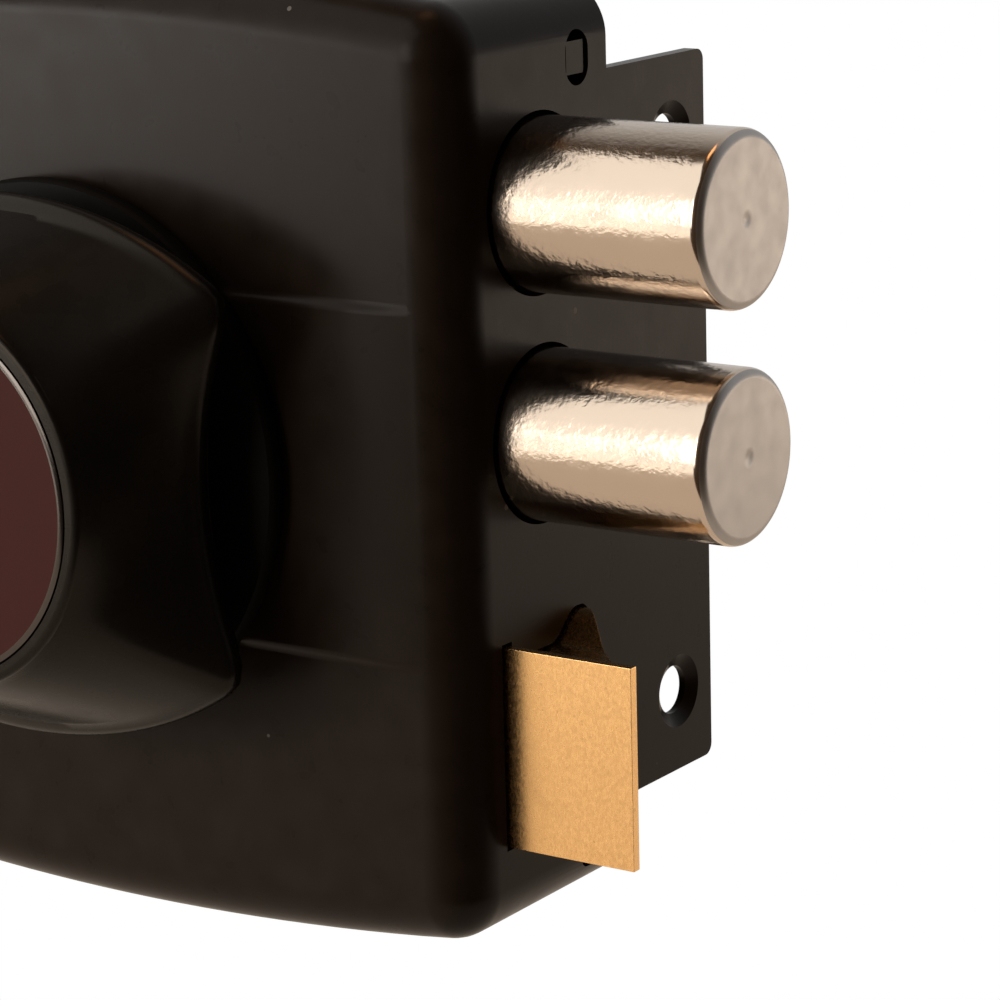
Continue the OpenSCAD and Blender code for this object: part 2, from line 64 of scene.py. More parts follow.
# Places closer than this count as the same.
NEAR = 1e-6
COVER_LOW, COVER_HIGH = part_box("case_cover")
FLANGE_LOW, FLANGE_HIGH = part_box("edge_flange")
UPPER_LOW, UPPER_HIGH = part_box("upper_bolt")
LOWER_LOW, LOWER_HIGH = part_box("lower_bolt")
LATCH_LOW, LATCH_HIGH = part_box("latch_bolt")
SPRING_LOW, SPRING_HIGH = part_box("latch_spring")
KNOB_LOW, KNOB_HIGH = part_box("knob")
CAP_LOW, CAP_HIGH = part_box("knob_cap")

# Holes that line up with the works inside the case and with the door edge.
FLANGE_HOLE_Y, FLANGE_HOLE_Z = 13.8 * MM, 34.1 * MM
FLANGE_HOLE_RADIUS, FLANGE_SINK_RADIUS, FLANGE_SINK_DEPTH = 3 * MM, 4.6 * MM, 1 * MM
HOOK_SLOT_Y, HOOK_SLOT_WIDTH, HOOK_SLOT_REACH = -6.15 * MM, 4.7 * MM, 0.85 * MM
HOOK_SLOTS_Z = (46 * MM, -47.6 * MM)
COVER_SCREW_Y, COVER_SCREW_Z = -10 * MM, 30 * MM
COVER_SCREW_RADIUS, COVER_SINK_RADIUS, COVER_SINK_DEPTH = 2.2 * MM, 4 * MM, 1.8 * MM
BUSH_HOLE_RADIUS, BUSH_HOLE_START, BUSH_HOLE_END = 7.55 * MM, -40 * MM, -24 * MM
ROD_HOLE_RADIUS, BOLT_HOLE_DEPTH, LATCH_HOLE_DEPTH = 2.52 * MM, 12 * MM, 8 * MM
LATCH_ROD_Y = -14.4 * MM
# The front plate of the latch ends this far below its ridge.
LATCH_STEP = 1 * MM
# The cutter of a countersink stands this far proud of the face that it cuts.
CLEAR = 0.01 * MM


def length(name, description, default):
    """A size property in metres."""
    return bpy.props.FloatProperty(
        name=name, description=description, default=default, unit="LENGTH", precision=5)


def colour(name, description, default):
    """A colour property, linear."""
    return bpy.props.FloatVectorProperty(
        name=name, description=description, default=default, subtype="COLOR", size=3, min=0.0, max=1.0)


class LockSizes(bpy.types.PropertyGroup):
    """Sizes of the visible pieces that a user would change."""

    bow_radius: length("Bow radius", "Radius of the bowed upper and lower edges", 390 * MM)
    corner_radius: length("Corner radius", "Rounding of the four corners seen from the front", 6.5 * MM)
    edge_radius: length("Edge radius", "Rounding from the front into the sides", 6.3 * MM)
    wall: length("Wall", "Sheet thickness of the cover", 1.8 * MM)
    band_height: length("Band height", "Height of the raised band", 41.2 * MM)
    band_step: length("Band step", "Step of the raised band", 0.45 * MM)
    band_ramp: length("Band ramp", "Width of the slope beside the raised band", 0.85 * MM)
    bolt_gap: length("Bolt gap", "Gap round the bolts in the cover", 0.5 * MM)
    latch_gap: length("Latch gap", "Gap round the latch in the cover", 0.4 * MM)
    slab: length("Latch plate", "Thickness of the front of the latch", 1.2 * MM)
    foot: length("Knob foot", "Thickness of the round foot of the knob", 2.4 * MM)
    grip: length("Grip", "Diameter across the two lobes of the grip", 64.6 * MM)
    grip_rise: length("Grip rise", "Distance of the widest edge of the grip in front of the foot", 7.2 * MM)
    knob_waist: length("Knob waist", "Width of the grip between its scoops", 56.8 * MM)
    knob_face: length("Knob face", "Diameter of the front of the knob", 46.6 * MM)


class LockFinishes(bpy.types.PropertyGroup):
    """Colours of the finishes."""

    lacquer: colour("Lacquer", "Dark brown lacquer of the case", (0.0105, 0.0066, 0.0043))
    nickel: colour("Nickel", "Plating of the bolts", (0.55, 0.462, 0.38))
    bolt_end: colour("Bolt ends", "Faced ends of the bolts", (0.365, 0.348, 0.336))
    brass: colour("Brass", "Metal of the latch", (0.86, 0.53, 0.23))
    knob_black: colour("Knob", "Moulding of the knob", (0.006, 0.0052, 0.0045))
    cap: colour("Cap", "Cap of the knob", (0.034, 0.0045, 0.0040))
    zinc: colour("Zinc", "Plating of the inner parts", (0.46, 0.46, 0.47))


# Modelling helpers: everything is done on one selected object at a time.

def clear_selection():
    """Leave edit mode and select nothing."""
    if bpy.context.object and bpy.context.object.mode != "OBJECT":
        bpy.ops.object.mode_set(mode="OBJECT")
    bpy.ops.object.select_all(action="DESELECT")


def choose(piece):
    """Make one object the only selected and active one."""
    clear_selection()
    piece.select_set(True)
    bpy.context.view_layer.objects.active = piece


def settle():
    """Put the active object's place, turn and scale into its mesh."""
    bpy.ops.object.transform_apply(location=True, rotation=True, scale=True)


def named(name):
    """Name the new active object and put its place into its mesh."""
    piece = bpy.context.object
    piece.name = name
    piece.data.name = name
    settle()
    return piece


def block(name, low, high):
    """A box between two corners."""
    clear_selection()
    low, high = Vector(low), Vector(high)
    bpy.ops.mesh.primitive_cube_add(size=1, location=(low + high) / 2, scale=high - low)
    return named(name)


def bar(name, start, end, radius, sides, radius_end=None):
    """A round bar or cone between two points."""
    clear_selection()
    start, end = Vector(start), Vector(end)
    turn = Vector((0, 0, 1)).rotation_difference(end - start).to_euler()
    bpy.ops.mesh.primitive_cone_add(
        vertices=sides, radius1=radius, radius2=radius if radius_end is None else radius_end,
        depth=(end - start).length, location=(start + end) / 2, rotation=turn)
    return named(name)


def bar_x(name, start, end, y, z, radius, sides, radius_end=None):
    """A round bar or cone along X."""
    return bar(name, (start, y, z), (end, y, z), radius, sides, radius_end)


def bar_y(name, start, end, radius, sides):
    """A round bar along Y, on the knob's axis."""
    return bar(name, (0, start, 0), (0, end, 0), radius, sides)


def edit(piece):
    """Enter edit mode on a piece, with all of it selected."""
    choose(piece)
    bpy.ops.object.mode_set(mode="EDIT")
    bpy.ops.mesh.select_mode(type="VERT")
    bpy.ops.mesh.select_all(action="SELECT")


def leave():
    """Leave edit mode."""
    bpy.ops.object.mode_set(mode="OBJECT")


def pick(kind, test):
    """Select the vertices, edges or faces of the edited mesh that pass a test, and fail if none does."""
    piece = bpy.context.edit_object
    bpy.ops.mesh.select_mode(type=kind)
    bpy.ops.mesh.select_all(action="DESELECT")
    form = bmesh.from_edit_mesh(piece.data)
    items = {"VERT": form.verts, "EDGE": form.edges, "FACE": form.faces}[kind]
    chosen = [item for item in items if test(item)]
    if not chosen:
        raise RuntimeError("nothing to select on " + piece.name)
    for item in chosen:
        item.select_set(True)
    form.select_flush_mode()
    bmesh.update_edit_mesh(piece.data)


def round_edges(test, offset, segments):
    """Bevel the edges of the edited mesh that pass a test."""
    pick("EDGE", test)
    bpy.ops.mesh.bevel(offset=offset, segments=segments, affect="EDGES")


def move(x, y, z):
    """Move what is selected."""
    bpy.ops.transform.translate(value=(x, y, z))


def slice_at(point, normal, **keep):
    """Cut the whole edited mesh with a plane."""
    bpy.ops.mesh.select_all(action="SELECT")
    bpy.ops.mesh.bisect(plane_co=point, plane_no=normal, **keep)


def face_outwards():
    """Turn all faces of the edited mesh outwards."""
    bpy.ops.mesh.select_all(action="SELECT")
    bpy.ops.mesh.normals_make_consistent(inside=False)


def prism(name, outline, along):
    """Draw a closed outline point by point, fill it and extrude it."""
    clear_selection()
    bpy.ops.mesh.primitive_plane_add(size=MM, location=outline[0])
    piece = named(name)
    edit(piece)
    bpy.ops.mesh.merge(type="CENTER")
    for before, after in zip(outline, outline[1:]):
        bpy.ops.mesh.extrude_vertices_move(
            TRANSFORM_OT_translate={"value": Vector(after) - Vector(before)})
    bpy.ops.mesh.select_all(action="SELECT")
    bpy.ops.mesh.edge_face_add()
    bpy.ops.mesh.extrude_region_move(TRANSFORM_OT_translate={"value": along})
    face_outwards()
    leave()
    return piece


def apply(piece, kind, **settings):
    """Add a modifier, set it and apply it."""
    choose(piece)
    modifier = piece.modifiers.new(kind.lower(), kind)
    for key, value in settings.items():
        setattr(modifier, key, value)
    bpy.ops.object.modifier_apply(modifier=modifier.name)


def carve(piece, cutters, operation="DIFFERENCE"):
    """Cut pieces out of a piece, or weld them on."""
    for cutter in cutters:
        apply(piece, "BOOLEAN", object=cutter, operation=operation, solver="EXACT")
        bpy.data.objects.remove(cutter)


def smooth(piece, angle, weight=None):
    """Shade a piece smooth below an angle. A weight lets its large faces lead the normals."""
    choose(piece)
    bpy.ops.object.shade_smooth_by_angle(angle=math.radians(angle), keep_sharp_edges=False)
    if weight:
        apply(piece, "WEIGHTED_NORMAL", keep_sharp=True, weight=weight)


def soften(piece, width, angle, smooth_below=34):
    """Break the sharp edges, clean the mesh and shade the rest smooth."""
    apply(piece, "BEVEL", width=width, segments=2, limit_method="ANGLE",
          angle_limit=math.radians(angle), use_clamp_overlap=True, harden_normals=False)
    edit(piece)
    bpy.ops.mesh.remove_doubles(threshold=0.001 * MM)
    bpy.ops.mesh.dissolve_degenerate(threshold=0.0001 * MM)
    leave()
    smooth(piece, smooth_below, 80)


def stadium(y, z, width, reach):
    """Outline of an upright slot in a plane of constant X, as (y, z) pairs."""
    half = width / 2
    points = []
    for first, centre in ((0, z + reach), (math.pi, z - reach)):
        for step in range(17):
            angle = first + math.pi * step / 16
            points.append((y + half * math.cos(angle), centre + half * math.sin(angle)))
    return points


def at_x(points, x):
    """Put (y, z) pairs into a plane of constant X."""
    return [Vector((x, y, z)) for y, z in points]


FINISH = {}


def finish_piece(piece, finish, body, node, second=None, where=None):
    """Give a piece its body and finish, hide the CAD part that it stands for, and give a second finish to
    the faces that pass a test.
    """
    mesh = piece.data
    mesh.materials.clear()
    mesh.materials.append(FINISH[finish])
    if second:
        mesh.materials.append(FINISH[second])
        for face in mesh.polygons:
            if where(face):
                face.material_index = 1
    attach(piece, body)
    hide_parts(node)


# Shader helpers and shared effects.

def add(tree, kind, **settings):
    """A node with its properties and plain socket values set."""
    node = tree.nodes.new(kind)
    for key, value in settings.items():
        if hasattr(node, key):
            setattr(node, key, value)
        else:
            node.inputs[key].default_value = value
    return node


def feed(tree, value, socket):
    """Link a socket to another one, or set it to a plain value."""
    if isinstance(value, bpy.types.NodeSocket):
        tree.links.new(value, socket)
    else:
        socket.default_value = value


def maths(tree, operation, first, second):
    """The result of two values, each a socket or a number."""
    node = add(tree, "ShaderNodeMath", operation=operation)
    feed(tree, first, node.inputs[0])
    feed(tree, second, node.inputs[1])
    return node.outputs[0]


def ramp_range(tree, source, low, high, start=0.3, stop=0.7):
    """Spread a value between start and stop over a range."""
    spread = add(tree, "ShaderNodeMapRange")
    for label, limit in (("From Min", start), ("From Max", stop), ("To Min", low), ("To Max", high)):
        spread.inputs[label].default_value = limit
    tree.links.new(source, spread.inputs["Value"])
    return spread.outputs["Result"]


def blend_colours(tree, factor, first, second):
    """Mix two colours by a mask. Each is a colour or a socket."""
    mix = add(tree, "ShaderNodeMix", data_type="RGBA")
    tree.links.new(factor, mix.inputs["Factor"])
    for label, value in (("A", first), ("B", second)):
        if not isinstance(value, bpy.types.NodeSocket):
            value = (*value, 1.0)
        feed(tree, value, mix.inputs[label])
    return mix.outputs["Result"]


def relief(tree, height, distance, strength, under=None):
    """A normal from a height, on top of another normal where one is given."""
    bump = add(tree, "ShaderNodeBump", Strength=strength, Distance=distance)
    tree.links.new(height, bump.inputs["Height"])
    if under is not None:
        tree.links.new(under, bump.inputs["Normal"])
    return bump.outputs["Normal"]


def shade(value, tone):
    """A colour made darker or lighter."""
    return tuple(value * part for part in tone)


def mix_shaders(tree, factor, first, second, output):
    """Mix two shaders by a mask into the output."""
    mix = add(tree, "ShaderNodeMixShader")
    tree.links.new(factor, mix.inputs[0])
    tree.links.new(first.outputs[0], mix.inputs[1])
    tree.links.new(second.outputs[0], mix.inputs[2])
    tree.links.new(mix.outputs[0], output.inputs["Surface"])


def new_group(name, inputs, outputs):
    """An empty shader node group with a Vector input and named values."""
    group = bpy.data.node_groups.new(name, "ShaderNodeTree")
    group.interface.new_socket("Vector", in_out="INPUT", socket_type="NodeSocketVector")
    for label, kind, value in inputs:
        socket = group.interface.new_socket(label, in_out="INPUT", socket_type=kind)
        socket.default_value = value
    for label in outputs:
        group.interface.new_socket(label, in_out="OUTPUT", socket_type="NodeSocketFloat")
    entry = group.nodes.new("NodeGroupInput")
    ending = group.nodes.new("NodeGroupOutput")
    return group, entry.outputs, ending.inputs


def grain_group():
    """Stretched noise round a middle of 0.5, and the same four times finer."""
    group, given, result = new_group(
        "surface_grain",
        [("Scale", "NodeSocketFloat", 400.0), ("Detail", "NodeSocketFloat", 3.0),
         ("Stretch", "NodeSocketVector", (1.0, 1.0, 1.0))],
        ["Value", "Fine"])
    links = group.links
    stretch = add(group, "ShaderNodeVectorMath", operation="MULTIPLY")
    links.new(given["Vector"], stretch.inputs[0])
    links.new(given["Stretch"], stretch.inputs[1])
    finer = maths(group, "MULTIPLY", given["Scale"], 4.0)
    for label, scale in (("Value", given["Scale"]), ("Fine", finer)):
        noise = add(group, "ShaderNodeTexNoise")
        links.new(stretch.outputs[0], noise.inputs["Vector"])
        links.new(scale, noise.inputs["Scale"])
        links.new(given["Detail"], noise.inputs["Detail"])
        links.new(noise.outputs["Fac"], result[label])
    return group


def specks_group():
    """Sparse small spots: 1 on a spot, 0 elsewhere."""
    group, given, result = new_group(
        "dust_specks",
        [("Scale", "NodeSocketFloat", 150.0), ("Size", "NodeSocketFloat", 0.05)],
        ["Mask"])
    links = group.links
    cells = add(group, "ShaderNodeTexVoronoi", feature="F1")
    links.new(given["Vector"], cells.inputs["Vector"])
    links.new(given["Scale"], cells.inputs["Scale"])
    chance = add(group, "ShaderNodeSeparateColor")
    links.new(cells.outputs["Color"], chance.inputs["Color"])
    few = maths(group, "GREATER_THAN", chance.outputs["Red"], 0.72)
    size = maths(group, "MULTIPLY", given["Size"], chance.outputs["Green"])
    spot = maths(group, "LESS_THAN", cells.outputs["Distance"], size)
    links.new(maths(group, "MULTIPLY", spot, few), result["Mask"])
    return group


def pattern(tree, group, place, **values):
    """The outputs of a shared effect, laid on the piece's own coordinates."""
    node = add(tree, "ShaderNodeGroup", node_tree=group, **values)
    tree.links.new(place, node.inputs["Vector"])
    return node.outputs


METAL = {"Metallic": 1.0}


def new_finish(name, fixed):
    """A material with a Principled shader, its fixed values and Object coordinates."""
    material = bpy.data.materials.new(name)
    material.use_nodes = True
    tree = material.node_tree
    tree.nodes.clear()
    shader = tree.nodes.new("ShaderNodeBsdfPrincipled")
    output = tree.nodes.new("ShaderNodeOutputMaterial")
    tree.links.new(shader.outputs[0], output.inputs["Surface"])
    for label, value in fixed.items():
        shader.inputs[label].default_value = value
    coords = tree.nodes.new("ShaderNodeTexCoord")
    return material, tree, shader.inputs, coords.outputs["Object"]


def lacquer_finish(grain, specks, tone):
    """Satin lacquer with a slight orange peel and a little dust."""
    material, tree, sockets, place = new_finish("lacquer_satin", {"Specular IOR Level": 0.08})
    peel = pattern(tree, grain, place, Scale=260.0, Detail=2.0)
    dust = pattern(tree, specks, place, Scale=140.0, Size=0.06)
    mottle = ramp_range(tree, peel["Value"], 0.0, 1.0)
    clean = blend_colours(tree, mottle, shade(0.9, tone), shade(1.12, tone))
    dusty = blend_colours(tree, dust["Mask"], clean, (0.10, 0.09, 0.08))
    tree.links.new(dusty, sockets["Base Color"])
    tree.links.new(ramp_range(tree, peel["Value"], 0.27, 0.33), sockets["Roughness"])
    tree.links.new(relief(tree, peel["Fine"], 0.02 * MM, 0.35), sockets["Normal"])
    return material


def nickel_finish(grain, tone):
    """Nickel over a rough turned bar: waves all along, and dents that end before the faced tip."""
    material, tree, sockets, place = new_finish("nickel_turned", METAL)
    wave = pattern(tree, grain, place, Scale=70.0, Detail=2.0)
    dents = pattern(tree, grain, place, Scale=1500.0, Detail=2.0, Stretch=(0.8, 1.0, 1.0))
    tree.links.new(blend_colours(tree, wave["Fine"], shade(0.95, tone), tone), sockets["Base Color"])
    tree.links.new(ramp_range(tree, wave["Fine"], 0.14, 0.21), sockets["Roughness"])
    along = add(tree, "ShaderNodeSeparateXYZ")
    tree.links.new(place, along.inputs[0])
    fade = 1.5 * MM
    tip = UPPER_HIGH.x - fade
    shank = ramp_range(tree, along.outputs["X"], 1.0, 0.0, tip - fade, tip)
    waves = relief(tree, wave["Fine"], 0.03 * MM, 0.5)
    dented = relief(tree, maths(tree, "MULTIPLY", dents["Value"], shank), 0.09 * MM, 0.5, waves)
    tree.links.new(dented, sockets["Normal"])
    return material


def brass_finish(grain, specks, tone):
    """Satin brass, drawn along its height, with stains and fine pits."""
    material, tree, sockets, place = new_finish("brass_satin", METAL)
    drawn = pattern(tree, grain, place, Scale=900.0, Detail=3.0, Stretch=(1.0, 1.0, 0.5))
    stain = pattern(tree, grain, place, Scale=110.0, Detail=4.0)
    pits = pattern(tree, specks, place, Scale=900.0, Size=0.26)
    clean = blend_colours(tree, ramp_range(tree, drawn["Fine"], 0.0, 1.0), shade(0.88, tone), tone)
    stains = ramp_range(tree, stain["Value"], 0.0, 0.45, 0.60, 0.72)
    stained = blend_colours(tree, stains, clean, shade(0.66, tone))
    pitted = blend_colours(tree, pits["Mask"], stained, shade(0.78, tone))
    tree.links.new(pitted, sockets["Base Color"])
    tree.links.new(ramp_range(tree, drawn["Fine"], 0.22, 0.30), sockets["Roughness"])
    tree.links.new(relief(tree, drawn["Fine"], 0.01 * MM, 0.4), sockets["Normal"])
    return material


def plain_finish(name, grain, tones, scale, detail, rough=None, rough_by="Fine", strong=False, bump=None,
                 fixed=METAL):
    """A finish with one grain: two tones, strong or faint, a range of roughness and a fine relief."""
    material, tree, sockets, place = new_finish(name, fixed)
    skin = pattern(tree, grain, place, Scale=scale, Detail=detail)
    mask = ramp_range(tree, skin["Value"], 0.0, 1.0) if strong else skin["Value"]
    tree.links.new(blend_colours(tree, mask, *tones), sockets["Base Color"])
    if rough:
        tree.links.new(ramp_range(tree, skin[rough_by], *rough), sockets["Roughness"])
    if bump:
        tree.links.new(relief(tree, skin["Fine"], *bump), sockets["Normal"])
    return material


def make_finishes(finishes):
    """Every material of the lock, by name."""
    grain = grain_group()
    specks = specks_group()
    end, knob, cap, brass = finishes.bolt_end, finishes.knob_black, finishes.cap, finishes.brass
    made = {
        "lacquer": lacquer_finish(grain, specks, finishes.lacquer),
        "nickel": nickel_finish(grain, finishes.nickel),
        "nickel_end": plain_finish(
            "nickel_end", grain, (shade(0.90, end), end), 90.0, 4.0, (0.38, 0.46), bump=(0.02 * MM, 0.5)),
        "brass": brass_finish(grain, specks, brass),
        # The warm specular tint is a painted reflection: it warms every reflection on the black moulding.
        "knob": plain_finish(
            "knob_moulding", grain, (shade(0.9, knob), knob), 300.0, 2.0, (0.25, 0.30), "Value",
            bump=(0.01 * MM, 0.3),
            fixed={"Specular IOR Level": 0.15, "Specular Tint": (1.0, 0.87, 0.72, 1)}),
        # The foot is the same moulding made darker and duller: painted shade for the shadow under the grip.
        "knob_foot_painted_shade": plain_finish(
            "knob_foot_painted_shade", grain, (shade(0.7, knob), knob), 300.0, 2.0, (0.50, 0.60), "Value",
            fixed={"Specular IOR Level": 0.04}),
        "cap": plain_finish(
            "cap_moulding", grain, (shade(0.9, cap), cap), 300.0, 2.0,
            fixed={"Roughness": 0.12, "Specular IOR Level": 0.2}),
        "rim": plain_finish(
            "cap_rim", grain, ((0.07, 0.065, 0.06), (0.10, 0.09, 0.085)), 400.0, 2.0,
            fixed={"Metallic": 1.0, "Roughness": 0.18}),
        "bush_brass": plain_finish(
            "bush_brass", grain, (shade(0.7, brass), shade(0.95, brass)), 250.0, 3.0, (0.24, 0.34)),
    }
    for name, factor, rough in (
            ("zinc_sheet", 1.0, 0.38), ("turned_steel", 1.12, 0.26), ("spring_steel", 0.72, 0.3)):
        base = shade(factor, finishes.zinc)
        made[name] = plain_finish(
            name, grain, (shade(0.85, base), base), 180.0, 4.0, (rough - 0.05, rough + 0.08), strong=True,
            bump=(0.02 * MM, 0.4))
    return made


class LOCK_OT_finishes(bpy.types.Operator):
    """Make the materials of the lock"""

    bl_idname = "lock.finishes"
    bl_label = "Finishes"

    def execute(self, context):
        FINISH.update(make_finishes(context.scene.lock_finishes))
        return {"FINISHED"}


def latch_outline(sizes, grow):
    """Back part of the latch in YZ, grown by a gap: low front, S shaped rise, round ridge at the back."""
    front = LATCH_LOW.y + sizes.slab - 0.1 * MM - grow
    back = LATCH_HIGH.y + grow
    bottom = LATCH_LOW.z + 0.8 * MM - grow
    ridge = LATCH_HIGH.z + grow
    crest = 1.5 * MM + grow
    ridge_width, slope_width, rise = 1.8 * MM, 5.6 * MM, 3.3 * MM
    points = [(front, bottom), (back, bottom)]
    for step in range(8):
        angle = math.pi * step / 16
        points.append((back - crest * (1 - math.cos(angle)), ridge - crest * (1 - math.sin(angle))))
    for step in range(17):
        share = step / 16
        fall = rise * (1 - math.cos(math.pi * share)) / 2
        points.append((back - ridge_width - slope_width * share - 2 * grow, ridge - fall))
    points.append((front, ridge - rise))
    return points


class LOCK_OT_case_cover(bpy.types.Operator):
    """Press the bowed cover with its raised band and cut its openings"""

    bl_idname = "lock.case_cover"
    bl_label = "Case cover"

    def execute(self, context):
        sizes = context.scene.lock_sizes
        cover = self.press(sizes)
        carve(cover, self.openings(sizes))
        soften(cover, 0.11 * MM, 50)
        finish_piece(cover, "lacquer", "case", "case_cover")
        return {"FINISHED"}

    def press(self, sizes):
        """The shell: bowed above and below, rounded, with a raised band across its front."""
        half, top = COVER_HIGH.x, COVER_HIGH.z
        flat = COVER_LOW.y + sizes.band_step
        cover = block("cover", (-half, flat, -top), (half, 0, top))
        edit(cover)
        # Columns 4 mm apart carry the bow.
        columns = [-46 * MM + 4 * MM * i for i in range(24)]
        for x in columns:
            slice_at((x, 0, 0), (1, 0, 0))
        for x in [-half, half] + columns:
            fall = sizes.bow_radius - math.sqrt(sizes.bow_radius ** 2 - x * x)
            for side in (1, -1):
                pick("VERT", lambda v: abs(v.co.x - x) < NEAR and v.co.z * side > 0)
                move(0, 0, -side * fall)

        # The four corners, then the edge all round the front.
        slope = math.asin(half / sizes.bow_radius)
        corner = sizes.corner_radius / math.tan((math.pi / 2 + slope) / 2)
        round_edges(lambda e: all(abs(abs(v.co.x) - half) < NEAR for v in e.verts)
                    and abs(e.verts[0].co.y - e.verts[1].co.y) > MM, corner, 12)
        round_edges(lambda e: all(v.co.y < flat + NEAR for v in e.verts) and len(e.link_faces) == 2
                    and sum(f.normal.y < -0.9 for f in e.link_faces) == 1, sizes.edge_radius, 10)

        # The raised band, which runs out before the rounded edges.
        half_band, ramp, band_end = sizes.band_height / 2, sizes.band_ramp / 2, 47 * MM
        for z in (half_band - ramp, half_band + ramp):
            for side in (1, -1):
                slice_at((0, 0, side * z), (0, 0, 1))
        pick("VERT", lambda v: v.co.y < flat + NEAR and abs(v.co.z) < half_band and abs(v.co.x) < band_end)
        move(0, -sizes.band_step, 0)

        def on_ramp(vert):
            return (vert.co.y < flat + sizes.band_step and abs(abs(vert.co.z) - half_band) < ramp + NEAR
                    and abs(vert.co.x) < half - sizes.edge_radius + NEAR)

        round_edges(lambda e: all(on_ramp(v) for v in e.verts)
                    and abs(e.verts[0].co.z - e.verts[1].co.z) < NEAR, sizes.band_ramp * 0.45, 4)

        # The open back and the sheet's thickness.
        pick("FACE", lambda f: f.normal.y > 0.9 and f.calc_center_median().y > -NEAR)
        bpy.ops.mesh.delete(type="FACE")
        leave()
        apply(cover, "SOLIDIFY", thickness=sizes.wall, offset=-1, use_even_offset=True)
        return cover

    def openings(self, sizes):
        """Cutters for the bolts, the latch, the hook slots, the bush and the screws."""
        half = COVER_HIGH.x
        inner, outer = half - 6 * MM, half + 2 * MM
        along = (outer - inner, 0, 0)
        gap = sizes.latch_gap
        cutters = []
        for low, high in ((UPPER_LOW, UPPER_HIGH), (LOWER_LOW, LOWER_HIGH)):
            middle = (low + high) / 2
            radius = (high.z - low.z) / 2 + sizes.bolt_gap
            cutters.append(bar_x("bolt_hole", inner, outer, middle.y, middle.z, radius, 128))
        cutters.append(prism("latch_hole", at_x(latch_outline(sizes, gap), inner), along))
        cutters.append(block("slab_hole", (inner, LATCH_LOW.y - gap, LATCH_LOW.z - gap),
                             (outer, LATCH_LOW.y + sizes.slab + gap, LATCH_HIGH.z - LATCH_STEP + gap)))
        for z in HOOK_SLOTS_Z:
            slot = stadium(HOOK_SLOT_Y, z, HOOK_SLOT_WIDTH, HOOK_SLOT_REACH)
            cutters.append(prism("hook_slot", at_x(slot, inner), along))
        cutters.append(bar_y("bush_hole", BUSH_HOLE_START, BUSH_HOLE_END, BUSH_HOLE_RADIUS, 96))
        y = COVER_SCREW_Y
        for z in (COVER_SCREW_Z, -COVER_SCREW_Z):
            cutters.append(bar_x("screw_hole", -outer, -inner, y, z, COVER_SCREW_RADIUS, 48))
            cutters.append(bar_x("screw_sink", -half - CLEAR, -half + COVER_SINK_DEPTH, y, z,
                                 COVER_SINK_RADIUS, 48, COVER_SCREW_RADIUS))
        return cutters


class LOCK_OT_edge_flange(bpy.types.Operator):
    """Shape the flange that lies on the door edge"""

    bl_idname = "lock.edge_flange"
    bl_label = "Edge flange"

    def execute(self, context):
        low, high = FLANGE_LOW, FLANGE_HIGH
        plate = block("flange", low, high)
        edit(plate)
        round_edges(lambda e: all(v.co.y > high.y - NEAR for v in e.verts)
                    and abs(e.verts[0].co.x - e.verts[1].co.x) > MM, 1.4 * MM, 8)
        leave()
        # The countersink starts a little inside the hole, so that the two cutters cross cleanly.
        y, sink_start = FLANGE_HOLE_Y, FLANGE_HOLE_RADIUS - 0.1 * MM
        cutters = []
        for z in (FLANGE_HOLE_Z, -FLANGE_HOLE_Z):
            cutters.append(bar_x("hole", low.x - MM, high.x + MM, y, z, FLANGE_HOLE_RADIUS, 64))
            cutters.append(bar_x("sink", high.x - FLANGE_SINK_DEPTH, high.x + CLEAR, y, z,
                                 sink_start, 64, FLANGE_SINK_RADIUS))
        carve(plate, cutters)
        soften(plate, 0.07 * MM, 28, 24)
        finish_piece(plate, "lacquer", "case", "edge_flange")
        return {"FINISHED"}


class LOCK_OT_dead_bolts(bpy.types.Operator):
    """Turn the two dead bolts"""

    bl_idname = "lock.dead_bolts"
    bl_label = "Dead bolts"

    def execute(self, context):
        self.turn_bolt("upper_bolt", UPPER_LOW, UPPER_HIGH)
        self.turn_bolt("lower_bolt", LOWER_LOW, LOWER_HIGH)
        return {"FINISHED"}

    def turn_bolt(self, node, low, high):
        """One bolt: rounded tip, centre mark on its end and a hole for its screw."""
        middle = (low + high) / 2
        radius = (high.z - low.z) / 2
        mark, tip = 2.5 * MM, high.x - NEAR
        rod = bar_x(node + "_bar", low.x, high.x, middle.y, middle.z, radius, 160)
        edit(rod)
        round_edges(lambda e: all(v.co.x > tip for v in e.verts), 1.2 * MM, 8)
        round_edges(lambda e: all(v.co.x < low.x + NEAR for v in e.verts), 1 * MM, 2)
        pick("FACE", lambda f: all(v.co.x > tip for v in f.verts))
        bpy.ops.mesh.inset(thickness=radius - mark)
        for rim, depth in ((0.6 * MM, 0.05 * MM), (0.35 * MM, 0.12 * MM)):
            bpy.ops.mesh.inset(thickness=rim)
            move(-depth, 0, 0)
        leave()
        carve(rod, [bar_x("thread", low.x - MM, low.x + BOLT_HOLE_DEPTH, middle.y, middle.z,
                          ROD_HOLE_RADIUS, 32)])
        smooth(rod, 34, 80)
        finish_piece(rod, "nickel", "bolts", node, "nickel_end",
                     lambda face: face.center.x > high.x - 0.8 * MM and face.normal.x > 0.5)


